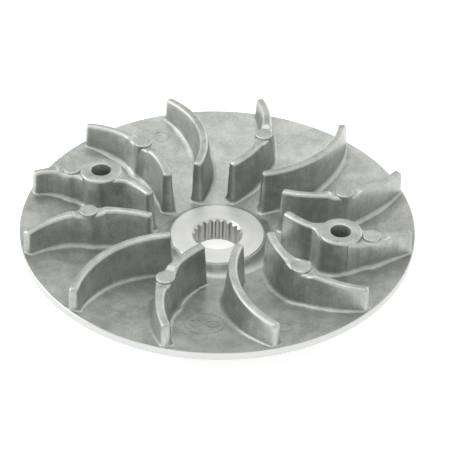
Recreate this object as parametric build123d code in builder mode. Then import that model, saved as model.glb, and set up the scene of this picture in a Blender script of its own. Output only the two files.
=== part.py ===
"""Fixed drive face of a belt variator, with a centrifugal cooling fan cast on its back.

The part turns with the crankshaft of a small scooter engine.  It is made of two pieces:

- fan_casting: the die-cast light-alloy disc.  Its lower side is the cone that the belt runs
  on, its upper side is a shallow dish that carries twelve curved fan blades, their ejector
  pads and the two bosses for the holding tool.
- splined_hub: the steel bush, with an internal spline, that the disc is cast around.

Frame: millimetres, +Z along the shaft towards the fan, origin on the shaft axis in the flat
seat at the middle of the belt side, which is the lowest point of the part.
"""

import math
import os

from build123d import *

# ---- Disc ------------------------------------------------------------------------------
outer_r = 75.0            # overall radius of the disc
rim_t = 3.35              # height of the machined band round the rim
belt_angle = 14.75        # slope of the belt face, degrees
seat_r = 21.4             # flat seat at the middle of the belt side
floor_angle = 11.3        # slope of the dished floor between the blades, degrees
rim_chamfer = 0.2         # broken edges of the rim band

# ---- Hub bush --------------------------------------------------------------------------
hub_r = 18.1              # outer radius of the bush
hub_h = 10.75             # length of the bush, from seat to nut face
collar_step = 0.4         # top of the casting's collar below the nut face
collar_w = 0.5            # width of the collar's top
collar_fillet = 2.5       # hollow between floor and collar
flange_r = 20.2           # anchoring flange, inside the casting
flange_z = 2.1            # underside of the flange
flange_t = 1.6            # thickness of the flange
anchor_count = 6          # notches that stop the bush from turning
anchor_r = 1.5            # radius of each notch
hub_chamfer = 0.3         # broken outer edge of the nut face

# ---- Spline ----------------------------------------------------------------------------
spline_teeth = 20
spline_major_r = 9.3      # bottom of the grooves
spline_minor_r = 8.6      # tips of the teeth
spline_pitch_r = 8.95
spline_flank_angle = 30.0
spline_mouth = 1.2        # chamfer at both ends of the spline

# ---- Blades ----------------------------------------------------------------------------
blade_count = 12
first_blade_angle = 8.2   # angle of the first blade's middle, degrees from +X
blade_mid_r = 48.8        # radius at which the blade crosses its own radial line
blade_gap = 7.9           # from the bush to the blade's inner tip
blade_margin = 2.2        # from the blade's outer tip to the edge of the disc
blade_curve_r = 39.7      # radius of the blade's curve, seen from above
blade_lean = 5.75         # angle between blade and radial line at the middle, degrees
blade_w = 3.4             # width of the blade's top
blade_rise = 9.0          # top of the blades above the rim's upper edge
blade_top_fillet = 1.0    # rounded edge of the blade's top
root_fillet = 1.3         # hollow between a blade and the floor
draft = 2.5               # taper of the walls that leave the die, degrees

# ---- Ejector pads and holding bosses ---------------------------------------------------
pad_r = 3.45
pad_drop = 0.1            # top of the pads below the top of the blades
pad_blend_r = 3.0         # hollow between pad and blade, seen from above
notch_w = 3.4             # width of the dip round a pad
notch_depth = 0.9
boss_r = 8.1
boss_step = 0.4           # top of the bosses above the top of the blades
boss_blend_r = 4.0        # hollow between boss, side pad and blade, seen from above
boss_hole_r = 3.75
boss_hole_depth = 14.0
boss_blade = 5            # first blade with a boss; the second is opposite
side_pad_gap = 0.25       # between the boss and the pad beside it
web_margin = 0.85         # how far the web under that pad stands out round it
pad_top_fillet = 0.4      # rounded edge of the pads' and bosses' faces

# ---- Worked out from the sizes above ---------------------------------------------------
belt_slope = math.tan(math.radians(belt_angle))
floor_slope = math.tan(math.radians(floor_angle))
rim_low_z = (outer_r - seat_r) * belt_slope
rim_top_z = rim_low_z + rim_t
blade_top_z = rim_top_z + blade_rise
pad_top_z = blade_top_z - pad_drop
boss_top_z = blade_top_z + boss_step
blade_step = 360 / blade_count
blade_inner_r = hub_r + blade_gap
blade_outer_r = outer_r - blade_margin
notch_r = pad_r + notch_w
side_pad_shift = boss_r + side_pad_gap + pad_r
collar_r = hub_r + collar_w
clear_r = 2 * outer_r     # anywhere outside the disc
level_tolerance = 0.01    # two heights or radii this close count as one


def floor_z(radius):
    """Height of the dished floor at a radius."""
    return rim_top_z - (outer_r - radius) * floor_slope


def belt_z(radius):
    """Height of the belt cone at a radius."""
    return (radius - seat_r) * belt_slope


collar_top_z = hub_h - collar_step

# The blade's curve: an arc through (blade_mid_r, 0), leaning forward in the frame of the
# blade, where X is the blade's radial line.
curve_x = blade_mid_r - blade_curve_r * math.sin(math.radians(blade_lean))
curve_y = blade_curve_r * math.cos(math.radians(blade_lean))
curve_centre_r = math.hypot(curve_x, curve_y)
curve_centre_angle = math.degrees(math.atan2(curve_y, curve_x))


def curve_angle(radius):
    """Direction, seen from the curve's centre, of the curve's point at a radius."""
    cosine = (radius**2 - curve_centre_r**2 - blade_curve_r**2) / (
        2 * curve_centre_r * blade_curve_r
    )
    return curve_centre_angle - math.degrees(math.acos(cosine))


def blade_curve(angle):
    """Centre line of the blade whose middle stands at an angle."""
    start = curve_angle(blade_inner_r + blade_w / 2)
    end = curve_angle(blade_outer_r - blade_w / 2)
    turned = Vector(curve_x, curve_y).rotate(Axis.Z, angle)
    return CenterArc((turned.X, turned.Y), blade_curve_r, start + angle, end - start)


blade_angles = [first_blade_angle + blade_step * k for k in range(blade_count)]
opposite_blade = (boss_blade + blade_count // 2) % blade_count
boss_angles = [blade_angles[boss_blade], blade_angles[opposite_blade]]
pad_angles = blade_angles[::2]
plain_angles = [
    angle for angle in blade_angles if angle not in boss_angles and angle not in pad_angles
]


def along_blade(shift):
    """Radius and turn, from the blade's radial line, of a point on its curve."""
    direction = math.radians(curve_angle(blade_mid_r) + math.degrees(shift / blade_curve_r))
    x = curve_x + blade_curve_r * math.cos(direction)
    y = curve_y + blade_curve_r * math.sin(direction)
    return math.hypot(x, y), math.degrees(math.atan2(y, x))


def polar(radius, angle):
    """Point in a level plane at a radius and an angle from +X."""
    return radius * math.cos(math.radians(angle)), radius * math.sin(math.radians(angle))


side_pad_r, side_pad_turn = along_blade(side_pad_shift)
side_pad_angles = [angle + side_pad_turn for angle in boss_angles]
blade_curves = {angle: blade_curve(angle) for angle in blade_angles}

# ---- Splined hub -----------------------------------------------------------------------
with BuildPart() as hub_blank:
    with BuildSketch():
        Circle(hub_r)
    extrude(amount=hub_h)
    with BuildSketch(Plane.XY.offset(flange_z)):
        Circle(flange_r)
        with PolarLocations(flange_r, anchor_count):
            Circle(anchor_r, mode=Mode.SUBTRACT)
    extrude(amount=flange_t)

with BuildPart() as splined_hub:
    add(hub_blank.part)
    chamfer(splined_hub.edges().group_by(Axis.Z)[-1], hub_chamfer)
    with BuildSketch():
        Circle(spline_minor_r)
    extrude(amount=hub_h, mode=Mode.SUBTRACT)
    chamfer(
        splined_hub.edges().filter_by(GeomType.CIRCLE).filter_by(
            lambda edge: abs(edge.radius - spline_minor_r) < spline_mouth / 2
        ),
        spline_mouth,
    )
    flank = math.tan(math.radians(spline_flank_angle))
    half_pitch_w = math.pi * spline_pitch_r / spline_teeth / 2
    half_root_w = half_pitch_w - (spline_major_r - spline_pitch_r) * flank
    groove_foot_r = spline_minor_r - spline_mouth
    half_foot_w = half_pitch_w + (spline_pitch_r - groove_foot_r) * flank
    with BuildSketch(mode=Mode.PRIVATE) as groove:
        with BuildLine():
            Polyline(
                (groove_foot_r, -half_foot_w),
                (spline_major_r, -half_root_w),
                (spline_major_r, half_root_w),
                (groove_foot_r, half_foot_w),
                close=True,
            )
        make_face()
    with BuildSketch():
        with PolarLocations(0, spline_teeth):
            add(groove.sketch)
    extrude(amount=hub_h, mode=Mode.SUBTRACT)
splined_hub.part.label = "splined_hub"

# ---- Fan casting -----------------------------------------------------------------------
def edges_at(part, height):
    """Edges that lie in the level plane at a height."""
    return part.edges().filter_by_position(Axis.Z, height, height).filter_by(
        lambda edge: edge.bounding_box().size.Z < level_tolerance
    )


def pattern(radius, angles):
    """Places at a radius, evenly spaced, the first of them at the first angle."""
    return PolarLocations(radius, len(angles), start_angle=angles[0])


with BuildPart() as fan_casting:
    # Disc, with a level underside that the belt cone is cut from later
    with BuildSketch(Plane.XZ) as disc_section:
        with BuildLine():
            Polyline(
                (0, 0),
                (outer_r, 0),
                (outer_r, rim_top_z - rim_chamfer),
                (outer_r - rim_chamfer, floor_z(outer_r - rim_chamfer)),
                (collar_r, floor_z(collar_r)),
                (collar_r, collar_top_z),
                (0, collar_top_z),
                close=True,
            )
        make_face()
        collar_foot = Vector(collar_r, floor_z(collar_r))
        fillet(disc_section.vertices().sort_by_distance(collar_foot)[0], collar_fillet)
    revolve(axis=Axis.Z)

    # Blades, drafted downwards and long enough to run into the disc everywhere.  Growing an
    # outline and shrinking it again hollows its inner corners and leaves the rest as it was.
    with BuildSketch(Plane.XY.offset(blade_top_z)):
        for angle in plain_angles:
            SlotArc(blade_curves[angle], blade_w)
    extrude(amount=-blade_top_z, taper=-draft)
    for angle in pad_angles:
        with BuildSketch(Plane.XY.offset(blade_top_z)):
            SlotArc(blade_curves[angle], blade_w)
            with Locations(polar(blade_mid_r, angle)):
                Circle(pad_r)
            offset(amount=pad_blend_r)
            offset(amount=-pad_blend_r)
        extrude(amount=-blade_top_z, taper=-draft)
    for angle in boss_angles:
        with BuildSketch(Plane.XY.offset(blade_top_z)):
            SlotArc(blade_curves[angle], blade_w)
            with Locations(polar(blade_mid_r, angle)):
                Circle(boss_r)
            with Locations(polar(side_pad_r, angle + side_pad_turn)):
                Circle(pad_r + web_margin)
            offset(amount=boss_blend_r)
            offset(amount=-boss_blend_r)
        extrude(amount=-blade_top_z, taper=-draft)
    fillet(edges_at(fan_casting, blade_top_z), blade_top_fillet)

    # Dips in the tops of the blades, the boss faces a little above them, and the ejector pads
    # standing in the dips
    with BuildSketch(Plane.XY.offset(blade_top_z)):
        with pattern(blade_mid_r, pad_angles):
            Circle(notch_r)
        with pattern(side_pad_r, side_pad_angles):
            Circle(notch_r)
    extrude(amount=-notch_depth, mode=Mode.SUBTRACT)
    with BuildSketch(Plane.XY.offset(boss_top_z)):
        with pattern(blade_mid_r, boss_angles):
            Circle(boss_r)
    extrude(amount=blade_top_z - boss_top_z - 2 * notch_depth, taper=-draft)
    with BuildSketch(Plane.XY.offset(pad_top_z)):
        with pattern(blade_mid_r, pad_angles):
            Circle(pad_r)
        with pattern(side_pad_r, side_pad_angles):
            Circle(pad_r)
    extrude(amount=-pad_top_z, taper=-draft)

    # The belt cone, which also trims the feet of the blades
    with BuildSketch(Plane.XZ):
        with BuildLine():
            Polyline(
                (seat_r, 0),
                (outer_r - rim_chamfer, belt_z(outer_r - rim_chamfer)),
                (outer_r, rim_low_z + rim_chamfer),
                (clear_r, rim_low_z + rim_chamfer),
                (clear_r, 0),
                close=True,
            )
        make_face()
    revolve(axis=Axis.Z, mode=Mode.SUBTRACT)

    # Hollows where the blades rise from the floor.  The floor and the belt face are the two
    # largest cones, and the floor is the upper one.
    largest_cones = fan_casting.faces().filter_by(GeomType.CONE).sort_by(SortBy.AREA)[-2:]
    floor = largest_cones.sort_by(Axis.Z)[-1]
    fillet(floor.inner_wires().edges(), root_fillet)
    for height in (pad_top_z, boss_top_z):
        fillet(edges_at(fan_casting, height), pad_top_fillet)

    # Blind holes for the holding tool
    with BuildSketch(Plane.XY.offset(boss_top_z)):
        with pattern(blade_mid_r, boss_angles):
            Circle(boss_hole_r)
    extrude(amount=-boss_hole_depth, mode=Mode.SUBTRACT)
    add(hub_blank.part, mode=Mode.SUBTRACT)
fan_casting.part.label = "fan_casting"

os.makedirs("parts", exist_ok=True)
export_step(fan_casting.part, "parts/fan_casting.step")
export_step(splined_hub.part, "parts/splined_hub.step")
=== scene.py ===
"""Looks of the drive face of a belt variator: a die-cast fan disc on a splined steel hub.

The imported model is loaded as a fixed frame.  The disc, its fan blades, pads, bosses and
casting marks are smooth surfaces that stand for the CAD casting; the hub keeps its CAD shape.
Everything is in metres, in the frame of the model: +Z along the shaft, towards the fan.
"""

import math

import bpy
import numpy as np
from bpy.props import (
    FloatProperty,
    FloatVectorProperty,
    IntProperty,
    PointerProperty,
)
from mathutils import Matrix, Vector


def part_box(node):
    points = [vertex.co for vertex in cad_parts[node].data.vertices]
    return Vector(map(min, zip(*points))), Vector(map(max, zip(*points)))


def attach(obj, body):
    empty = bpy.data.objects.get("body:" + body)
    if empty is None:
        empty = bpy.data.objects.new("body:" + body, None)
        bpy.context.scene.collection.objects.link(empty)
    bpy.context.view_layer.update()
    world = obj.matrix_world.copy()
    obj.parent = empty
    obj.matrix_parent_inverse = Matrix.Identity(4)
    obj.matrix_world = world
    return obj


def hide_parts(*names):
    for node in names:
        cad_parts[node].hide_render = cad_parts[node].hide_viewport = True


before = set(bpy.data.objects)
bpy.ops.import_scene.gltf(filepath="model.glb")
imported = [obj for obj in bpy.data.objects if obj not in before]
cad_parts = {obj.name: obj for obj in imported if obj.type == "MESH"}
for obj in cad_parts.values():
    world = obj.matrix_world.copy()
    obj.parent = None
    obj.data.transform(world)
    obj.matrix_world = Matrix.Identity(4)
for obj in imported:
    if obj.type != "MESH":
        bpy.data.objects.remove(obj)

bl_info = {
    "name": "Variator Drive Face",
    "version": (1, 0, 0),
    "blender": (4, 5, 0),
    "location": "3D View > Sidebar > Drive Face",
    "description": "Cast fan disc with turned faces on a splined hub, and its studio",
    "category": "Add Mesh",
}

CASTING_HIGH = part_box("fan_casting")[1]
HUB_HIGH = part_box("splined_hub")[1]
BLADE_RISE = 0.0090
BOSS_STEP = 0.0004
COLLAR_STEP = 0.0004
CAST_SLOT = "cast_alloy"
BODY = "root"
# how deep walls and raised rings reach into the floor, and how far a blade's swelling and its
# cut ends stay hidden inside the pad or boss
WALL_SUNK, RING_SUNK, HIDDEN = 0.0008, 0.0003, 0.0001
# rows of a raised form: shares of the way across its top, steps round its edge, down its wall
# and round the hollow at its foot
TOP_SHARES, EDGE_STEPS, WALL_STEPS, HOLLOW_STEPS = (0.0, 0.35, 0.7), 4, 5, 8
# cells per metre of the patterns in the finishes
CLOUD_SCALE, MOTTLE_SCALE, DRAWN_SCALE, GRAIN_SCALE = 75.0, 260.0, 620.0, 1700.0
BAND_SCALE, SHEEN_SCALE = 320.0, 90.0


# ---- Sizes and finishes that a user would change -------------------------------------------


def length(name, description, default):
    """A size in metres."""
    return FloatProperty(
        name=name, description=description, default=default, unit="LENGTH", precision=5
    )


def angle(name, description, degrees):
    """An angle, given in degrees."""
    return FloatProperty(
        name=name, description=description, default=math.radians(degrees), subtype="ANGLE"
    )


def amount(name, description, default):
    """A plain number."""
    return FloatProperty(name=name, description=description, default=default, precision=4)


def colour(name, description, default):
    """A linear colour."""
    return FloatVectorProperty(
        name=name, description=description, default=default, subtype="COLOR", size=3, min=0, max=1
    )


class DiscSizes(bpy.types.PropertyGroup):
    """Sizes of the disc that carries the blades."""

    radius: length("Radius", "Overall radius of the disc", CASTING_HIGH.x)
    rim_top: length(
        "Rim top", "Height of the rim's upper edge", CASTING_HIGH.z - BOSS_STEP - BLADE_RISE
    )
    rim_band: length("Rim band", "Height of the turned band round the rim", 0.00335)
    floor_angle: angle("Floor angle", "Slope of the dished floor", 11.3)
    seat_radius: length("Seat radius", "Flat seat in the middle of the belt side", 0.0214)
    edge: length("Broken edge", "Rounding of the turned edges", 0.00025)
    hub_radius: length("Hub radius", "Radius of the hub that the disc is cast round", 0.0181)
    collar_top: length("Collar top", "Height of the collar", HUB_HIGH.z - COLLAR_STEP)
    collar_width: length("Collar width", "Width of the collar round the hub", 0.0005)
    collar_lean: angle("Collar lean", "Lean of the collar's outer wall", 30.0)
    collar_hollow: length("Collar hollow", "Radius between floor and collar", 0.0040)


class BladeSizes(bpy.types.PropertyGroup):
    """Sizes of the fan blades."""

    count: IntProperty(name="Blades", description="Number of fan blades", default=12, min=2)
    first_angle: angle("First blade", "Angle of the first blade's middle from +X", 8.2)
    mid_radius: length("Middle", "Radius where a blade crosses its radial line", 0.0488)
    inner_radius: length("Inner tip", "Radius of the inner tip", 0.0260)
    outer_margin: length("Outer margin", "From the outer tip to the edge of the disc", 0.0016)
    curve_radius: length("Curve", "Radius of the curve, seen from above", 0.0397)
    lean: angle("Lean", "Angle between blade and radial line at the middle", 5.75)
    width: length("Width", "Width of the blade's top", 0.0034)
    rise: length("Rise", "Top of the blades above the rim's upper edge", BLADE_RISE)
    inner_drop: length("Inner drop", "How much lower the inner tip is", 0.0006)
    draft: angle("Draft", "Taper of the walls round a blade's tips, a pad or a boss", 2.5)
    edge: length("Edge radius", "Rounded edge of the top", 0.00122)
    root: length("Root radius", "Hollow between wall and floor, along the blade", 0.0020)
    tip_root: length("Tip root radius", "The same hollow round the blade's tips", 0.0009)
    flank_draft: angle("Flank draft", "Taper of the walls along a blade with no boss", 6.5)
    growth: length("Growth", "Way from a tip to the full draft and hollow", 0.0150)
    tip_squareness: amount("Tip squareness", "2 is a round tip, more is squarer", 3.0)


class PadSizes(bpy.types.PropertyGroup):
    """Sizes of the ejector pads and of the bosses for the holding tool."""

    pad_radius: length("Pad radius", "Radius of an ejector pad", 0.00345)
    pad_edge: length("Pad edge", "Rounded edge of a pad", 0.0004)
    pad_root: length("Pad root", "Hollow at the foot of a pad beside a blade", 0.0014)
    pad_drop: length("Pad drop", "Pad's top below the top of the blades", 0.0001)
    dip_width: length("Dip width", "Width of the dip round a pad", 0.0034)
    dip_depth: length("Dip depth", "Depth of the dip round a pad", 0.0009)
    dip_slope: length("Dip slope", "Way along the blade from the top to the dip's depth", 0.0024)
    pad_flare: length("Pad flare", "From a pad's middle to the end of its flare", 0.0072)
    side_flare: length("Side pad flare", "The same for the pad beside a boss", 0.00828)
    boss_radius: length("Boss radius", "Radius of a boss", 0.0081)
    boss_step: length("Boss step", "Boss's top above the top of the blades", BOSS_STEP)
    boss_edge: length("Boss edge", "Rounded edge of a boss's face", 0.0009)
    tight_flare: length("Tight flare", "The same for a boss, inward on the outside", 0.0096)
    boss_flare: length("Boss flare", "The same for a boss, inward on the inside", 0.0112)
    web_flare: length("Web flare", "The same for a boss, outward", 0.0140)
    boss_blade: IntProperty(name="Boss blade", description="First blade with a boss", default=5)
    hole_radius: length("Hole radius", "Radius of the holes for the tool", 0.00375)
    hole_depth: length("Hole depth", "Depth of those holes", 0.0140)
    hole_edge: length("Hole edge", "Broken edge at the mouth of a hole", 0.0003)
    side_pad_gap: length("Side pad gap", "Between a boss and the pad beside it", 0.0)
    web_margin: length("Web margin", "How far the web stands out round that pad", 0.00085)


class MarkSizes(bpy.types.PropertyGroup):
    """Sizes and places of the marks that the die leaves on the floor."""

    line: length("Line", "Width of a raised line", 0.0007)
    height: length("Height", "Height of a raised line", 0.00014)
    ejector_place: length("Ejector place", "From the shaft to an ejector ring", 0.0632)
    ejector_angle: angle("Ejector angle", "Angle of the first ejector ring", 112.2)
    ejector_radius: length("Ejector radius", "Radius of an ejector ring", 0.0028)
    stamp_place: length("Stamp place", "From the shaft to the foundry stamp", 0.0557)
    stamp_angle: angle("Stamp angle", "Angle of the foundry stamp", 265.7)
    stamp_radius: length("Stamp radius", "Radius of the foundry stamp", 0.0070)
    small_shift: amount("Small ring shift", "From the stamp's middle, against its radius", 0.42)
    small_radius: amount("Small ring radius", "Against the stamp's radius", 0.3)


class Finishes(bpy.types.PropertyGroup):
    """Colours, gloss and tool marks of the three finishes."""

    cast_light: colour("Cast, light", "Clean cast skin", (0.540, 0.553, 0.525))
    cast_dark: colour("Cast, dark", "Stained cast skin", (0.340, 0.350, 0.332))
    # painted highlight colour, laid on rounded edges and in the hollows at the foot of walls
    cast_highlight: colour("Cast edges", "Rubbed edges and hollows of the casting", (0.72, 0.735, 0.70))
    cast_gloss: amount("Cast roughness", "Roughness of the cast skin", 0.42)
    turned: colour("Turned alloy", "Turned faces of the casting", (0.56, 0.57, 0.555))
    turned_gloss: amount("Turned roughness", "Roughness of the turned faces", 0.34)
    turned_pitch: length("Turned pitch", "Feed of the tool on the turned faces", 0.00022)
    steel: colour("Hub steel", "Turned steel of the hub", (0.80, 0.81, 0.775))
    steel_gloss: amount("Steel roughness", "Roughness of the hub", 0.36)
    steel_pitch: length("Steel pitch", "Feed of the tool on the hub", 0.00016)
    # painted shade: the share that darkens the spline's walls and the hub's other upright faces
    spline_shade: amount("Spline tone", "Tone of the spline's walls against the faces", 0.5)


class StudioSettings(bpy.types.PropertyGroup):
    """Camera, lights and floor."""

    lens: amount("Lens", "Focal length in millimetres", 118.09)
    distance: length("Distance", "From the camera to the middle of the rim", 0.57241)
    elevation: angle("Elevation", "Camera's height above the horizon", 37.487)
    roll: angle("Roll", "Turn of the camera round its axis", 0.884)
    shift_x: amount("Shift X", "Sideways shift of the lens", 0.0250)
    shift_y: amount("Shift Y", "Upward shift of the lens", -0.0212)
    floor: colour("Floor", "Colour of the floor", (0.90, 0.90, 0.90))
    floor_glow: amount("Floor glow", "Light that the floor gives off", 0.57)
    sky: amount("Sky", "Strength of the light from all round", 0.80)
    key: amount("Key light", "Power of the large overhead light, watts", 2.9)
    side: amount("Side light", "Power of the light from the left, watts", 2.8)
    rear: amount("Rear light", "Power of the light behind on the right, watts", 2.2)


# ---- Surfaces ------------------------------------------------------------------------------


def smooth_step(value):
    """0 below 0, 1 above 1, and 3 v squared minus 2 v cubed between."""
    value = np.clip(value, 0.0, 1.0)
    return value * value * (3.0 - 2.0 * value)


def soft_max(first, second, width):
    """The larger of two heights, with a rounded corner as wide as the width where they cross."""
    share = np.clip(0.5 + 0.5 * (first - second) / width, 0.0, 1.0)
    return second + (first - second) * share + width * share * (1.0 - share)


def grid_quads(rows, columns, wrap_rows=False, wrap_columns=False):
    """Corner numbers of the quads between neighbouring points of a grid, row by row."""
    index = np.arange(rows * columns).reshape(rows, columns)
    if wrap_rows:
        index = np.vstack((index, index[:1]))
    if wrap_columns:
        index = np.hstack((index, index[:, :1]))
    corners = (index[:-1, :-1], index[:-1, 1:], index[1:, 1:], index[1:, :-1])
    return np.stack(corners, axis=-1).reshape(-1, 4)


class Surface:
    """Grids of points that become one mesh, each with the number of its material."""

    MERGE = 1e-7  # points nearer than this are one point

    def __init__(self):
        self.points, self.quads, self.finish, self.count = [], [], [], 0

    def add(self, grid, finish=0, wrap_rows=False, wrap_columns=True):
        """A grid of shape (rows, columns, 3); finish is one number or one for each row."""
        rows, columns = grid.shape[:2]
        quads = grid_quads(rows, columns, wrap_rows, wrap_columns)
        per_row = len(quads) // (rows if wrap_rows else rows - 1)
        finish = np.broadcast_to(finish, len(quads) // per_row)
        self.points.append(grid.reshape(-1, 3))
        self.quads.append(quads + self.count)
        self.finish.append(np.repeat(finish, per_row))
        self.count += rows * columns

    def build(self, name, materials, sharp_degrees=40.0):
        """The mesh object: points that coincide are joined, and flat quads are dropped."""
        points = np.vstack(self.points)
        rounded = np.round(points / self.MERGE).astype(np.int64)
        _, first, joined = np.unique(rounded, axis=0, return_index=True, return_inverse=True)
        quads = joined.reshape(-1)[np.vstack(self.quads)]
        triangles = np.stack((quads[:, [0, 1, 2]], quads[:, [0, 2, 3]]), axis=1).reshape(-1, 3)
        finish = np.repeat(np.concatenate(self.finish), 2)
        a, b, c = triangles.T
        kept = (a != b) & (b != c) & (c != a)
        mesh = bpy.data.meshes.new(name)
        mesh.from_pydata(points[first], [], triangles[kept].tolist(), shade_flat=False)
        for material in materials:
            mesh.materials.append(material)
        mesh.polygons.foreach_set("material_index", finish[kept].astype(np.int32))
        mesh.set_sharp_from_angle(angle=math.radians(sharp_degrees))
        mesh.update()
        piece = bpy.data.objects.new(name, mesh)
        bpy.context.scene.collection.objects.link(piece)
        return piece


def corner_arc(centre, radius, start, end, steps):
    """Points (radius, height) on an arc of a profile, from one angle to the other, in degrees."""
    turn = np.radians(np.linspace(start, end, steps))
    return np.stack((centre[0] + radius * np.cos(turn), centre[1] + radius * np.sin(turn)), -1)


def revolved(profile, segments):
    """Grid of a profile carried round the shaft: x, y = radius times cosine, sine; z = height."""
    turn = np.linspace(0.0, 2.0 * math.pi, segments, endpoint=False)
    radius = profile[:, :1]
    height = np.broadcast_to(profile[:, 1:], (len(profile), segments))
    return np.stack((radius * np.cos(turn), radius * np.sin(turn), height), axis=-1)


def floor_height(disc, x, y):
    """Height of the dished floor: the rim's top less the way in from the rim times the slope."""
    return disc.rim_top - (disc.radius - np.hypot(x, y)) * math.tan(disc.floor_angle)


class BladeCurve:
    """The centre line of a blade: an arc through the middle radius, leaning forward.

    A point is given by its way along the arc from the middle, outward, and its way across it,
    away from the arc's centre.
    """

    def __init__(self, blades, disc, turn):
        self.radius, self.turn = blades.curve_radius, turn
        self.centre_x = blades.mid_radius - self.radius * math.sin(blades.lean)
        self.centre_y = self.radius * math.cos(blades.lean)
        self.middle = math.atan2(-self.centre_y, blades.mid_radius - self.centre_x)
        self.inner = self.along(blades.inner_radius)
        self.outer = self.along(disc.radius - blades.outer_margin)

    def along(self, radius):
        """Way along the arc to the point at a radius from the shaft, by the law of cosines."""
        reach = math.hypot(self.centre_x, self.centre_y)
        cosine = (radius**2 - reach**2 - self.radius**2) / (2.0 * reach * self.radius)
        direction = math.atan2(self.centre_y, self.centre_x) - math.acos(cosine)
        return (direction - self.middle) * self.radius

    def place(self, along, across):
        """x and y: the arc's centre plus (radius + across) in the direction of the way along."""
        direction = self.middle + along / self.radius
        x = self.centre_x + (self.radius + across) * np.cos(direction)
        y = self.centre_y + (self.radius + across) * np.sin(direction)
        cosine, sine = math.cos(self.turn), math.sin(self.turn)
        return x * cosine - y * sine, x * sine + y * cosine


class Swelling:
    """A round swelling of a blade about a point of its curve, with straight flares.

    A flare is the line that touches the circle and meets the side of the blade at a reach from
    the circle's centre.  There are four reaches: inward and outward of the swelling, on the
    outside of the curve and then on its inside.
    """

    SOFTNESS = 0.0014  # width of the rounded corner between the blade's side and the swelling
    SPREAD = np.linspace(-0.0105, 0.0105, 61)  # extra points of the outline about its centre

    def __init__(self, place, radius, *reaches):
        self.place, self.radius = place, radius
        self.reaches = reaches if len(reaches) == 4 else reaches * 4

    def widen(self, width, way, side, offset):
        """Soft maximum of a half width with the circle and its flares, grown by the offset."""
        radius, away = self.radius + offset, np.abs(way - self.place)
        outward = way > self.place
        first, second, third, fourth = self.reaches
        outside, inside = np.where(outward, second, first), np.where(outward, fourth, third)
        reach = np.where(side > 0.0, outside, inside)
        # the flare's slope, from the right-angled triangle of reach, radius and tangent
        turn = np.arcsin(radius / np.hypot(reach, width)) - np.arctan2(width, reach)
        flare = width + (reach - away) * np.tan(turn)
        circle = np.sqrt(np.maximum(radius**2 - away**2, 0.0))
        swollen = np.where(away > radius * np.sin(turn), flare, circle)
        return soft_max(width, swollen, self.SOFTNESS)


class BladePlan:
    """Outline of a blade, or of a stretch of one, seen from above, at any offset.

    Round each end it is a super-ellipse, or a straight cut; between the ends its half width is
    the soft maximum of the blade's and of each swelling's.
    """

    SIDE_POINTS, TIP_STEPS = 50, 8

    def __init__(self, curve, half_width, squareness, start, end, cuts=(False, False), swellings=()):
        self.curve, self.half_width, self.power = curve, half_width, 2.0 / squareness
        self.swellings = swellings
        self.round = [0.0 if cut else 1.0 for cut in cuts]
        inner = start if cuts[0] else start + half_width
        outer = end if cuts[1] else end - half_width
        extra = [swelling.place + Swelling.SPREAD for swelling in swellings]
        way = np.concatenate([np.linspace(inner, outer, self.SIDE_POINTS)] + extra)
        way = np.unique(np.round(way[(way >= inner) & (way <= outer)], 5))
        tip = np.linspace(0.0, 0.5 * math.pi, self.TIP_STEPS + 1)
        zero, one = np.zeros(len(way)), np.ones(len(way))
        # along one side from the inner tip to the outer one, as (way, tip direction, spread)
        ends = [np.full(self.TIP_STEPS, end_way) for end_way in (inner, outer)]
        side_way = np.concatenate((ends[0], way, ends[1]))
        side_reach = np.concatenate((-np.cos(tip[:-1]), zero, np.cos(tip[-2::-1])))
        side_width = np.concatenate((np.sin(tip[:-1]), one, np.sin(tip[-2::-1])))
        self.way = np.concatenate((side_way, side_way[-2:0:-1]))
        self.reach = np.concatenate((side_reach, side_reach[-2:0:-1]))
        self.spread = np.concatenate((side_width, -side_width[-2:0:-1]))

    def outline(self, offset):
        """x and y of the outline grown by an offset, which may differ from point to point."""
        base = self.half_width + offset
        width = base + 0.0 * self.way
        for swelling in self.swellings:
            width = swelling.widen(width, self.way, -self.spread, offset)
        rounding = np.where(self.reach < 0.0, *self.round)
        reach = np.sign(self.reach) * np.abs(self.reach) ** self.power * base * rounding
        across = np.sign(self.spread) * np.abs(self.spread) ** self.power * width
        return self.curve.place(self.way + reach, -across)

    def spine(self):
        """x and y of the point of the curve that each outline point belongs to."""
        return self.curve.place(self.way, 0.0 * self.way)


class RoundPlan:
    """A round outline about a point, at any offset."""

    def __init__(self, centre, radius, steps=72):
        self.centre, self.radius = centre, radius
        self.turn = np.linspace(2.0 * math.pi, 0.0, steps, endpoint=False)
        self.way = np.zeros(steps)

    def outline(self, offset):
        """x and y: the centre plus the grown radius times cosine and sine."""
        reach = self.radius + offset
        x = self.centre[0] + reach * np.cos(self.turn)
        return x, self.centre[1] + reach * np.sin(self.turn)

    def spine(self):
        """The centre, once for each outline point."""
        return self.centre[0] + 0.0 * self.turn, self.centre[1] + 0.0 * self.turn


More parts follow.
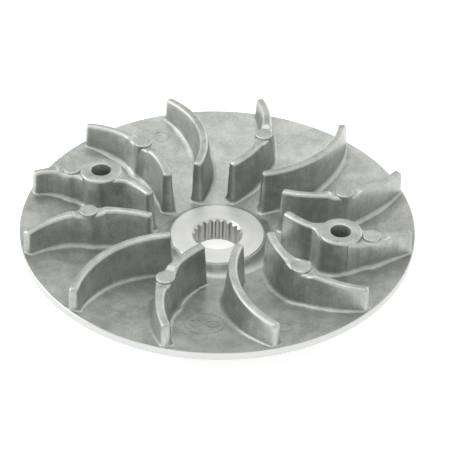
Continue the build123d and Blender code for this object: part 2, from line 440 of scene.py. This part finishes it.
def cast_wall(plan, disc, top, draft, edge, root, hole=None):
    """Rows of points of a raised form, from the middle of its top down to below the floor.

    The top is level with `top` above each outline point, its edge is a quarter circle, the wall
    grows outwards with the draft, and a hollow quarter circle runs out on the dished floor.  A
    hole, as (radius, bottom height, broken edge), sinks the middle of the top.
    """
    spine_x, spine_y = plan.spine()
    zero = 0.0 * plan.way
    top = top + zero
    rows = []

    def row(x, y, z):
        rows.append(np.stack((x + zero, y + zero, z + zero), axis=-1))

    def across(share, offset):
        x, y = plan.outline(offset)
        return spine_x + (x - spine_x) * share, spine_y + (y - spine_y) * share

    if hole is None:
        for share in TOP_SHARES:
            row(*across(share, -edge), top)
    else:
        # a rounded point at the bottom, the wall, and the broken edge at the mouth
        hole_radius, bottom, broken = hole
        for radius, height in (
            (0.0, bottom),
            (0.55 * hole_radius, bottom + 0.20 * hole_radius),
            (hole_radius, bottom + 0.55 * hole_radius),
            (hole_radius, 0.5 * (bottom + top)),
            (hole_radius, top - broken),
            (hole_radius + 0.3 * broken, top - 0.3 * broken),
            (hole_radius + broken, top),
        ):
            row(*across(radius / plan.radius, zero), height)
    for turn in np.linspace(0.0, 0.5 * math.pi, EDGE_STEPS + 1):
        row(*plan.outline(zero - edge * (1.0 - math.sin(turn))), top - edge * (1.0 - math.cos(turn)))
    depth = top - floor_height(disc, *plan.outline(zero))
    foot = (depth - root) * np.tan(draft)
    # beside the rim the hollow is made smaller, so that it ends inside the disc's edge
    room = disc.radius - disc.edge - np.hypot(*plan.outline(foot))
    root = np.clip(0.98 * room, 0.1 * root, root)
    for share in np.linspace(0.0, 1.0, WALL_STEPS + 1)[1:-1]:
        low = top - edge - share * (depth - root - edge)
        row(*plan.outline((top - low) * np.tan(draft)), low)
    for turn in np.linspace(0.0, 0.5 * math.pi, HOLLOW_STEPS + 1):
        x, y = plan.outline(foot + root * (1.0 - math.cos(turn)))
        row(x, y, floor_height(disc, x, y) + root * (1.0 - math.sin(turn)))
    row(x, y, floor_height(disc, x, y) - WALL_SUNK)
    row(spine_x, spine_y, floor_height(disc, spine_x, spine_y) - WALL_SUNK)
    return np.array(rows)


def raised_ring(disc, centre, radius, width, height, steps=72):
    """Grid of a low ring on the dished floor: four corners of its section, carried round."""
    turn = np.linspace(2.0 * math.pi, 0.0, steps, endpoint=False)
    half, rows = 0.5 * width, []
    section = ((-0.6 * half, height), (0.6 * half, height), (half, -RING_SUNK), (-half, -RING_SUNK))
    for reach, lift in section:
        x = centre[0] + (radius + reach) * np.cos(turn)
        y = centre[1] + (radius + reach) * np.sin(turn)
        rows.append(np.stack((x, y, floor_height(disc, x, y) + lift), axis=-1))
    return np.array(rows)


def ride_on_body(piece, slot, *nodes):
    """Fixes a piece to the part's body and hides the CAD nodes it stands for; the slot is not used.
    """
    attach(piece, BODY)
    if nodes:
        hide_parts(*nodes)
    return piece


# ---- Materials -----------------------------------------------------------------------------


class Value:
    """A node's output socket, with sums and products that add the Math nodes for them."""

    def __init__(self, shader, socket):
        self.shader, self.socket = shader, socket

    def _math(self, operation, first, second):
        sockets = {0: first, 1: second}
        return self.shader.node("ShaderNodeMath", {"operation": operation}, sockets)

    def __add__(self, other):
        return self._math("ADD", self, other)

    def __radd__(self, other):
        return self._math("ADD", other, self)

    def __sub__(self, other):
        return self._math("SUBTRACT", self, other)

    def __rsub__(self, other):
        return self._math("SUBTRACT", other, self)

    def __mul__(self, other):
        return self._math("MULTIPLY", self, other)

    def __rmul__(self, other):
        return self._math("MULTIPLY", other, self)

    def __abs__(self):
        return self.shader.node("ShaderNodeMath", {"operation": "ABSOLUTE"}, {0: self})


class Shader:
    """A material whose nodes are made by one method, ending in a Principled BSDF."""

    def __init__(self, name):
        self.material = bpy.data.materials.new(name)
        self.material.use_nodes = True
        self.tree = self.material.node_tree
        self.surface = self.tree.nodes["Principled BSDF"]
        self.position = self.node("ShaderNodeTexCoord", {}, {}, "Object")

    def node(self, kind, settings, sockets, output=0):
        """Adds a node: its settings first, then the values or links of its sockets."""
        made = self.tree.nodes.new(kind)
        for key, value in settings.items():
            setattr(made, key, value)
        for key, value in sockets.items():
            self.plug(made.inputs[key], value)
        return Value(self, made.outputs[output])

    def plug(self, socket, value):
        """Links a socket, or sets it where the value is a number, a vector or a colour."""
        if isinstance(value, Value):
            self.tree.links.new(value.socket, socket)
        else:
            socket.default_value = value

    def vector(self, operation, first, second):
        """A Vector Math node."""
        return self.node("ShaderNodeVectorMath", {"operation": operation}, {0: first, 1: second})

    def noise(self, vector, scale, detail=3.0, roughness=0.5):
        """Noise between 0 and 1, with a scale in cells per metre."""
        return self.node(
            "ShaderNodeTexNoise",
            {"noise_dimensions": "3D"},
            {"Vector": vector, "Scale": scale, "Detail": detail, "Roughness": roughness},
        )

    def ring_noise(self, feed, scale, detail):
        """Noise between 0 and 1 along one way only, which a radius turns into rings."""
        return self.node(
            "ShaderNodeTexNoise",
            {"noise_dimensions": "1D"},
            {"W": feed, "Scale": scale, "Detail": detail},
        )

    def step(self, value, low, high):
        """0 below the low value, 1 above the high one, and smooth between."""
        return self.node(
            "ShaderNodeMapRange",
            {"interpolation_type": "SMOOTHSTEP"},
            {"Value": value, "From Min": low, "From Max": high, "To Min": 0.0, "To Max": 1.0},
        )

    def mix(self, share, first, second):
        """A colour between two colours."""
        return self.node(
            "ShaderNodeMix", {"data_type": "RGBA"}, {0: share, 6: first, 7: second}, output=2
        )

    def parts(self, vector):
        """The three parts of a vector."""
        first = self.node("ShaderNodeSeparateXYZ", {}, {0: vector})
        return [Value(self, socket) for socket in first.socket.node.outputs]

    def facing(self):
        """How far the surface faces along the shaft: 1 fan side, 0 upright, -1 belt side."""
        return self.parts(self.node("ShaderNodeTexCoord", {}, {}, "Normal"))[2]

    def steep(self, facing, low, high):
        """1 where the surface is steeper than the low value says, 0 where flatter than the high."""
        return 1.0 - self.step(abs(facing), low, high)

    def shaft_radius(self):
        """Distance from the shaft's axis."""
        flat = self.vector("MULTIPLY", self.position, (1.0, 1.0, 0.0))
        return self.node(
            "ShaderNodeVectorMath", {"operation": "LENGTH"}, {0: flat}, output="Value"
        )

    def bump(self, height, distance, strength=1.0):
        """Normals tilted by a height map, whose full range stands for a distance in metres."""
        return self.node(
            "ShaderNodeBump", {}, {"Height": height, "Distance": distance, "Strength": strength}
        )

    def finish(self, **inputs):
        """Sets the surface's inputs; an underscore stands for a space."""
        for key, value in inputs.items():
            self.plug(self.surface.inputs[key.replace("_", " ")], value)
        return self.material


def solid(tone):
    """A colour with full alpha."""
    return (*tone, 1.0)


def cast_alloy(finishes, disc):
    """Die-cast skin: cloudy grey, streaked where the walls drew from the die, finely grained.

    Rounded edges get a painted highlight, and the hollows at the foot of a wall a weaker one, picked
    by how far the surface tilts.
    """
    shader = Shader("Cast alloy")
    place, facing = shader.position, shader.facing()
    steep = shader.steep(facing, 0.25, 0.75)
    cloud = shader.noise(place, CLOUD_SCALE, 3.0, 0.6)
    mottle = shader.noise(place, MOTTLE_SCALE, 4.0, 0.62)
    grain = shader.noise(place, GRAIN_SCALE, 2.0, 0.65)
    # stretched along the shaft, the way the die draws
    stretched = shader.vector("MULTIPLY", place, (1.0, 1.0, 0.06))
    drawn = shader.noise(stretched, DRAWN_SCALE, 3.0, 0.6)
    tone = 0.6 * cloud + 0.4 * mottle
    tone = tone + steep * (drawn - 0.5) * 0.22 + (grain - 0.5) * 0.45
    tone = shader.step(tone, 0.31, 0.69)
    base = shader.mix(tone, solid(finishes.cast_dark), solid(finishes.cast_light))
    # painted highlight where the surface tilts between upright and level: rounded edges and hollows
    rounded = shader.step(facing, 0.15, 0.55) * (1.0 - shader.step(facing, 0.86, 0.97))
    way_in = disc.radius - shader.shaft_radius()
    above = shader.parts(place)[2] - (disc.rim_top - way_in * math.tan(disc.floor_angle))
    # the painted highlight is stronger on the upper part of a wall than at its foot
    painted_highlight = 0.45 + 0.55 * shader.step(above, 0.0025, 0.0045)
    painted_highlight = painted_highlight * rounded * (0.15 + 0.60 * mottle)
    base = shader.mix(painted_highlight, base, solid(finishes.cast_highlight))
    height = 0.55 * grain + 0.9 * mottle + steep * drawn * 0.8
    return shader.finish(
        Base_Color=base,
        Metallic=0.85,
        Roughness=finishes.cast_gloss + (mottle - 0.5) * 0.22 + (grain - 0.5) * 0.1,
        Normal=shader.bump(height, 0.00006, 0.6),
    )


def turned_metal(name, base, gloss, pitch, upright=1.0):
    """A turned face: rings about the shaft at the tool's pitch, with faint uneven bands.

    Upright walls are darkened to the tone of the rest times a given share, a painted shade.
    """
    shader = Shader(name)
    radius = shader.shaft_radius()
    height = shader.parts(shader.position)[2]
    steep = shader.steep(shader.facing(), 0.15, 0.55)
    feed = radius + height * 0.35
    rings = shader.ring_noise(feed, 1.0 / pitch, 2.0)
    bands = shader.ring_noise(feed, BAND_SCALE, 3.0)
    cloud = shader.noise(shader.position, SHEEN_SCALE, 3.0)
    tone = shader.step(0.4 * bands + 0.3 * rings + 0.3 * cloud, 0.3, 0.7)
    # wall is the base times the given share: painted shade on upright faces where it is below 1
    darker, wall = (tuple(share * part for part in base) for share in (0.86, upright))
    face = shader.mix(tone, solid(darker), solid(base))
    return shader.finish(
        Base_Color=shader.mix(steep, face, solid(wall)),
        Metallic=0.95,
        Roughness=gloss + (rings - 0.5) * 0.16 + (cloud - 0.5) * 0.08,
        Normal=shader.bump(rings, 0.000012, 0.7),
    )


# ---- Operators -----------------------------------------------------------------------------


def material(name):
    """A finish that the first operator made."""
    found = bpy.data.materials.get(name)
    if found is None:
        raise RuntimeError(f"run Make Finishes first: there is no material named {name}")
    return found


def blade_curves(scene):
    """Every blade's curve, in order round the shaft."""
    blades, disc = scene.blade_sizes, scene.disc_sizes
    step = 2.0 * math.pi / blades.count
    return [BladeCurve(blades, disc, blades.first_angle + step * k) for k in range(blades.count)]


def boss_numbers(scene):
    """The blades with a boss: the one named and the one opposite."""
    first, count = scene.pad_sizes.boss_blade, scene.blade_sizes.count
    return (first, (first + count // 2) % count)


def side_pad_way(pads):
    """Way along the curve from a boss to the pad beside it."""
    return pads.boss_radius + pads.side_pad_gap + pads.pad_radius


def blade_top(plan, scene, dips):
    """Height of a blade's top: level, lower at the inner tip, and dipped on each side of a pad."""
    blades, pads = scene.blade_sizes, scene.pad_sizes
    inner, outer = plan.curve.inner, plan.curve.outer
    inward = 1.0 - smooth_step((plan.way - inner) / (0.5 * (outer - inner)))
    top = scene.disc_sizes.rim_top + blades.rise - blades.inner_drop * inward
    for way in dips:
        reach = pads.pad_radius + pads.dip_width - np.abs(plan.way - way)
        top = top - pads.dip_depth * smooth_step(reach / pads.dip_slope)
    return top


def blade_foot(plan, blades, flank_draft):
    """Draft and hollow of a blade's wall: small at both tips, growing smoothly to the full."""
    from_tip = np.minimum(plan.way - plan.curve.inner, plan.curve.outer - plan.way)
    grown = smooth_step(from_tip / blades.growth)
    draft = blades.draft + (flank_draft - blades.draft) * grown
    return draft, blades.tip_root + (blades.root - blades.tip_root) * grown


class DRIVEFACE_OT_finishes(bpy.types.Operator):
    """Make the finishes of the cast skin, the turned faces and the hub"""

    bl_idname = "driveface.finishes"
    bl_label = "Make Finishes"

    def execute(self, context):
        finishes = context.scene.finishes
        cast_alloy(finishes, context.scene.disc_sizes)
        turned_metal(
            "Turned alloy", finishes.turned, finishes.turned_gloss, finishes.turned_pitch
        )
        turned_metal(
            "Hub steel",
            finishes.steel,
            finishes.steel_gloss,
            finishes.steel_pitch,
            finishes.spline_shade,
        )
        return {"FINISHED"}


class DRIVEFACE_OT_disc(bpy.types.Operator):
    """Turn the disc's section round the shaft: dished floor, collar, rim band and belt face"""

    bl_idname = "driveface.disc"
    bl_label = "Make Disc"

    SEGMENTS = 360

    def execute(self, context):
        disc = context.scene.disc_sizes
        slope, tilt = math.tan(disc.floor_angle), math.degrees(disc.floor_angle)
        bore, hollow = disc.hub_radius, disc.collar_hollow
        wall = bore + disc.collar_width
        # centre of the hollow, which touches the leaning wall and the sloping floor
        out, up = math.cos(disc.collar_lean), math.sin(disc.collar_lean)
        centre_line = (wall + hollow * out, disc.collar_top + hollow * up)
        drop = centre_line[1] - float(floor_height(disc, centre_line[0], 0.0))
        way = (drop - hollow / math.cos(disc.floor_angle)) / (out + up * slope)
        centre = (centre_line[0] + way * up, centre_line[1] - way * out)
        lean = math.degrees(disc.collar_lean)
        arc = corner_arc(centre, hollow, 270.0 + tilt, 180.0 + lean, 17)
        edge = disc.edge
        rim_low = disc.rim_top - disc.rim_band
        belt_slope = rim_low / (disc.radius - disc.seat_radius)
        floor = np.linspace(disc.radius - edge, arc[0, 0], 48)[:-1]
        cast = np.concatenate(
            (
                np.stack((floor, disc.rim_top - (disc.radius - floor) * slope), -1),
                arc,
                corner_arc((wall - edge, disc.collar_top - edge), edge, lean, 90.0, 5),
                np.array(((bore, disc.collar_top),)),
            )
        )
        belt = np.linspace(disc.seat_radius, disc.radius - edge, 30)
        turned = np.concatenate(
            (
                np.array(((bore, 0.0),)),
                np.stack((belt, (belt - disc.seat_radius) * belt_slope), -1),
                np.array(((disc.radius, rim_low + edge), (disc.radius, disc.rim_top - edge))),
            )
        )
        profile = np.concatenate((cast, turned))
        finish = np.where(np.arange(len(profile)) < len(cast), 0, 1)
        surface = Surface()
        surface.add(revolved(profile, self.SEGMENTS), finish, wrap_rows=True)
        piece = surface.build("disc", [material("Cast alloy"), material("Turned alloy")], 30.0)
        ride_on_body(piece, CAST_SLOT, "fan_casting")
        return {"FINISHED"}


class DRIVEFACE_OT_blades(bpy.types.Operator):
    """Raise the curved fan blades, swollen where they meet the pads and the bosses"""

    bl_idname = "driveface.blades"
    bl_label = "Make Blades"

    def execute(self, context):
        scene = context.scene
        blades, pads, disc = scene.blade_sizes, scene.pad_sizes, scene.disc_sizes
        half = 0.5 * blades.width
        tight, wide, web_flare = pads.tight_flare, pads.boss_flare, pads.web_flare
        pad = Swelling(0.0, pads.pad_radius - HIDDEN, pads.pad_flare)
        web = Swelling(side_pad_way(pads), pads.pad_radius + pads.web_margin, pads.side_flare)
        boss = Swelling(0.0, pads.boss_radius - HIDDEN, tight, web_flare, wide, web_flare)
        cut = pads.hole_radius + HIDDEN
        surface = Surface()
        for number, curve in enumerate(blade_curves(scene)):
            with_boss = number in boss_numbers(scene)
            flank_draft = blades.draft if with_boss else blades.flank_draft
            if with_boss:
                stretches = (
                    (curve.inner, -cut, (False, True), (boss,), ()),
                    (cut, curve.outer, (True, False), (boss, web), (web.place,)),
                )
            elif number % 2 == 0:
                stretches = ((curve.inner, curve.outer, (False, False), (pad,), (0.0,)),)
            else:
                stretches = ((curve.inner, curve.outer, (False, False), (), ()),)
            for start, end, cuts, swellings, dips in stretches:
                plan = BladePlan(curve, half, blades.tip_squareness, start, end, cuts, swellings)
                top = blade_top(plan, scene, dips)
                draft, root = blade_foot(plan, blades, flank_draft)
                surface.add(cast_wall(plan, disc, top, draft, blades.edge, root))
        piece = surface.build("fan_blades", [material("Cast alloy")])
        ride_on_body(piece, CAST_SLOT, "fan_casting")
        return {"FINISHED"}


class DRIVEFACE_OT_pads(bpy.types.Operator):
    """Stand the ejector pads on every second blade and beside each boss"""

    bl_idname = "driveface.pads"
    bl_label = "Make Ejector Pads"

    def execute(self, context):
        scene = context.scene
        blades, pads, disc = scene.blade_sizes, scene.pad_sizes, scene.disc_sizes
        top = disc.rim_top + blades.rise - pads.pad_drop
        surface = Surface()
        for number, curve in enumerate(blade_curves(scene)):
            if number in boss_numbers(scene):
                centre = curve.place(side_pad_way(pads), 0.0)
            elif number % 2 == 0:
                centre = curve.place(0.0, 0.0)
            else:
                continue
            plan = RoundPlan(centre, pads.pad_radius)
            surface.add(cast_wall(plan, disc, top, blades.draft, pads.pad_edge, pads.pad_root))
        piece = surface.build("ejector_pads", [material("Cast alloy")])
        ride_on_body(piece, CAST_SLOT, "fan_casting")
        return {"FINISHED"}


class DRIVEFACE_OT_bosses(bpy.types.Operator):
    """Stand the two bosses for the holding tool, each with its blind hole"""

    bl_idname = "driveface.bosses"
    bl_label = "Make Holder Bosses"

    def execute(self, context):
        scene = context.scene
        blades, pads, disc = scene.blade_sizes, scene.pad_sizes, scene.disc_sizes
        top = disc.rim_top + blades.rise + pads.boss_step
        hole = (pads.hole_radius, top - pads.hole_depth, pads.hole_edge)
        curves = blade_curves(scene)
        surface = Surface()
        for number in boss_numbers(scene):
            plan = RoundPlan(curves[number].place(0.0, 0.0), pads.boss_radius, 120)
            surface.add(
                cast_wall(plan, disc, top, blades.draft, pads.boss_edge, blades.root, hole)
            )
        piece = surface.build("holder_bosses", [material("Cast alloy")])
        ride_on_body(piece, CAST_SLOT, "fan_casting")
        return {"FINISHED"}


class DRIVEFACE_OT_marks(bpy.types.Operator):
    """Leave the faint marks of the die on the floor: ejector rings and a plain foundry stamp"""

    bl_idname = "driveface.marks"
    bl_label = "Make Die Marks"

    def execute(self, context):
        disc, marks = context.scene.disc_sizes, context.scene.mark_sizes
        surface = Surface()

        def ring(at_radius, at_angle, radius, shift=0.0):
            turn = at_angle + shift / at_radius
            centre = (at_radius * math.cos(turn), at_radius * math.sin(turn))
            surface.add(
                raised_ring(disc, centre, radius, marks.line, marks.height), wrap_rows=True
            )

        for turn in (0.0, math.pi):
            ring(marks.ejector_place, marks.ejector_angle + turn, marks.ejector_radius)
        ring(marks.stamp_place, marks.stamp_angle, marks.stamp_radius)
        small = marks.small_radius * marks.stamp_radius
        for side in (-1.0, 1.0):
            shift = side * marks.small_shift * marks.stamp_radius
            ring(marks.stamp_place, marks.stamp_angle, small, shift)
        piece = surface.build("die_marks", [material("Cast alloy")])
        ride_on_body(piece, CAST_SLOT)
        return {"FINISHED"}


class DRIVEFACE_OT_hub(bpy.types.Operator):
    """Give the splined hub its turned steel finish"""

    bl_idname = "driveface.hub"
    bl_label = "Finish Hub"

    def execute(self, context):
        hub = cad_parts["splined_hub"]
        hub.data.materials.clear()
        hub.data.materials.append(material("Hub steel"))
        return {"FINISHED"}


class DRIVEFACE_OT_studio(bpy.types.Operator):
    """Lay the floor, hang the lights and set the camera"""

    bl_idname = "driveface.studio"
    bl_label = "Set Up Studio"

    # each area light's size and place, in metres
    LIGHTS = {
        "key": (0.8, (-0.15, 0.30, 1.1)),
        "side": (0.6, (-0.9, 0.1, 0.5)),
        "rear": (0.9, (0.8, 1.0, 0.55)),
    }
    FLOOR_REACH = 3.0

    def execute(self, context):
        scene = context.scene
        studio = scene.studio
        middle = Vector((0.0, 0.0, scene.disc_sizes.rim_top))
        scene.view_settings.view_transform = "Standard"
        self.floor(studio)
        self.sky(scene, studio)
        for name, (size, place) in self.LIGHTS.items():
            self.area(name, getattr(studio, name), size, Vector(place), middle)
        self.camera(scene, studio, middle)
        return {"FINISHED"}

    def floor(self, studio):
        """A pale level floor under the lowest point of the part."""
        mesh = bpy.data.meshes.new("floor")
        reach = self.FLOOR_REACH
        corners = [
            (-reach, -reach, 0.0), (reach, -reach, 0.0), (reach, reach, 0.0), (-reach, reach, 0.0)
        ]
        mesh.from_pydata(corners, [], [(0, 1, 2, 3)])
        plane = bpy.data.objects.new("floor", mesh)
        bpy.context.scene.collection.objects.link(plane)
        shader = Shader("Floor")
        tint = solid(studio.floor)
        mesh.materials.append(
            shader.finish(
                Base_Color=tint,
                Roughness=0.9,
                Emission_Color=tint,
                Emission_Strength=studio.floor_glow,
            )
        )

    def sky(self, scene, studio):
        """Even white light from all round."""
        world = bpy.data.worlds.new("studio")
        world.use_nodes = True
        background = world.node_tree.nodes["Background"]
        background.inputs["Color"].default_value = (1.0, 1.0, 1.0, 1.0)
        background.inputs["Strength"].default_value = studio.sky
        scene.world = world

    def area(self, name, power, size, place, target):
        """A square area light that faces a point."""
        lamp = bpy.data.lights.new(name, "AREA")
        lamp.energy, lamp.size = power, size
        light = bpy.data.objects.new(name, lamp)
        light.location = place
        light.rotation_mode = "QUATERNION"
        light.rotation_quaternion = (target - place).to_track_quat("-Z", "Y")
        bpy.context.scene.collection.objects.link(light)

    def camera(self, scene, studio, middle):
        """A long lens above the front of the part, aimed at the middle of its rim."""
        sine, cosine = math.sin(studio.elevation), math.cos(studio.elevation)
        right, up, back = Vector((1, 0, 0)), Vector((0, sine, cosine)), Vector((0, -cosine, sine))
        across = right * math.cos(studio.roll) + up * math.sin(studio.roll)
        above = up * math.cos(studio.roll) - right * math.sin(studio.roll)
        data = bpy.data.cameras.new("camera")
        data.lens, data.shift_x, data.shift_y = studio.lens, studio.shift_x, studio.shift_y
        data.clip_start = 0.01
        camera = bpy.data.objects.new("camera", data)
        turned = Matrix((across, above, back)).transposed().to_4x4()
        camera.matrix_world = Matrix.Translation(middle + back * studio.distance) @ turned
        scene.collection.objects.link(camera)
        scene.camera = camera


class DRIVEFACE_PT_panel(bpy.types.Panel):
    """The steps that build the drive face, in order"""

    bl_label = "Drive Face"
    bl_idname = "DRIVEFACE_PT_panel"
    bl_space_type = "VIEW_3D"
    bl_region_type = "UI"
    bl_category = "Drive Face"

    def draw(self, context):
        for operator in OPERATORS:
            self.layout.operator(operator.bl_idname)
        for group in SETTINGS:
            box = self.layout.box()
            box.label(text=group.replace("_", " ").capitalize())
            for key in SETTINGS[group].__annotations__:
                box.prop(getattr(context.scene, group), key)


OPERATORS = (
    DRIVEFACE_OT_finishes,
    DRIVEFACE_OT_disc,
    DRIVEFACE_OT_blades,
    DRIVEFACE_OT_pads,
    DRIVEFACE_OT_bosses,
    DRIVEFACE_OT_marks,
    DRIVEFACE_OT_hub,
    DRIVEFACE_OT_studio,
)
SETTINGS = {
    "disc_sizes": DiscSizes,
    "blade_sizes": BladeSizes,
    "pad_sizes": PadSizes,
    "mark_sizes": MarkSizes,
    "finishes": Finishes,
    "studio": StudioSettings,
}


def register():
    """Registers the settings, the operators and the panel."""
    for name, group in SETTINGS.items():
        bpy.utils.register_class(group)
        setattr(bpy.types.Scene, name, PointerProperty(type=group))
    for operator in OPERATORS:
        bpy.utils.register_class(operator)
    bpy.utils.register_class(DRIVEFACE_PT_panel)


def unregister():
    """Takes back what register added."""
    bpy.utils.unregister_class(DRIVEFACE_PT_panel)
    for operator in reversed(OPERATORS):
        bpy.utils.unregister_class(operator)
    for name, group in SETTINGS.items():
        delattr(bpy.types.Scene, name)
        bpy.utils.unregister_class(group)


def main():
    """Builds everything."""
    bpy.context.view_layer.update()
    register()
    bpy.ops.driveface.finishes()
    bpy.ops.driveface.disc()
    bpy.ops.driveface.blades()
    bpy.ops.driveface.pads()
    bpy.ops.driveface.bosses()
    bpy.ops.driveface.marks()
    bpy.ops.driveface.hub()
    bpy.ops.driveface.studio()


if __name__ == "__main__":
    main()
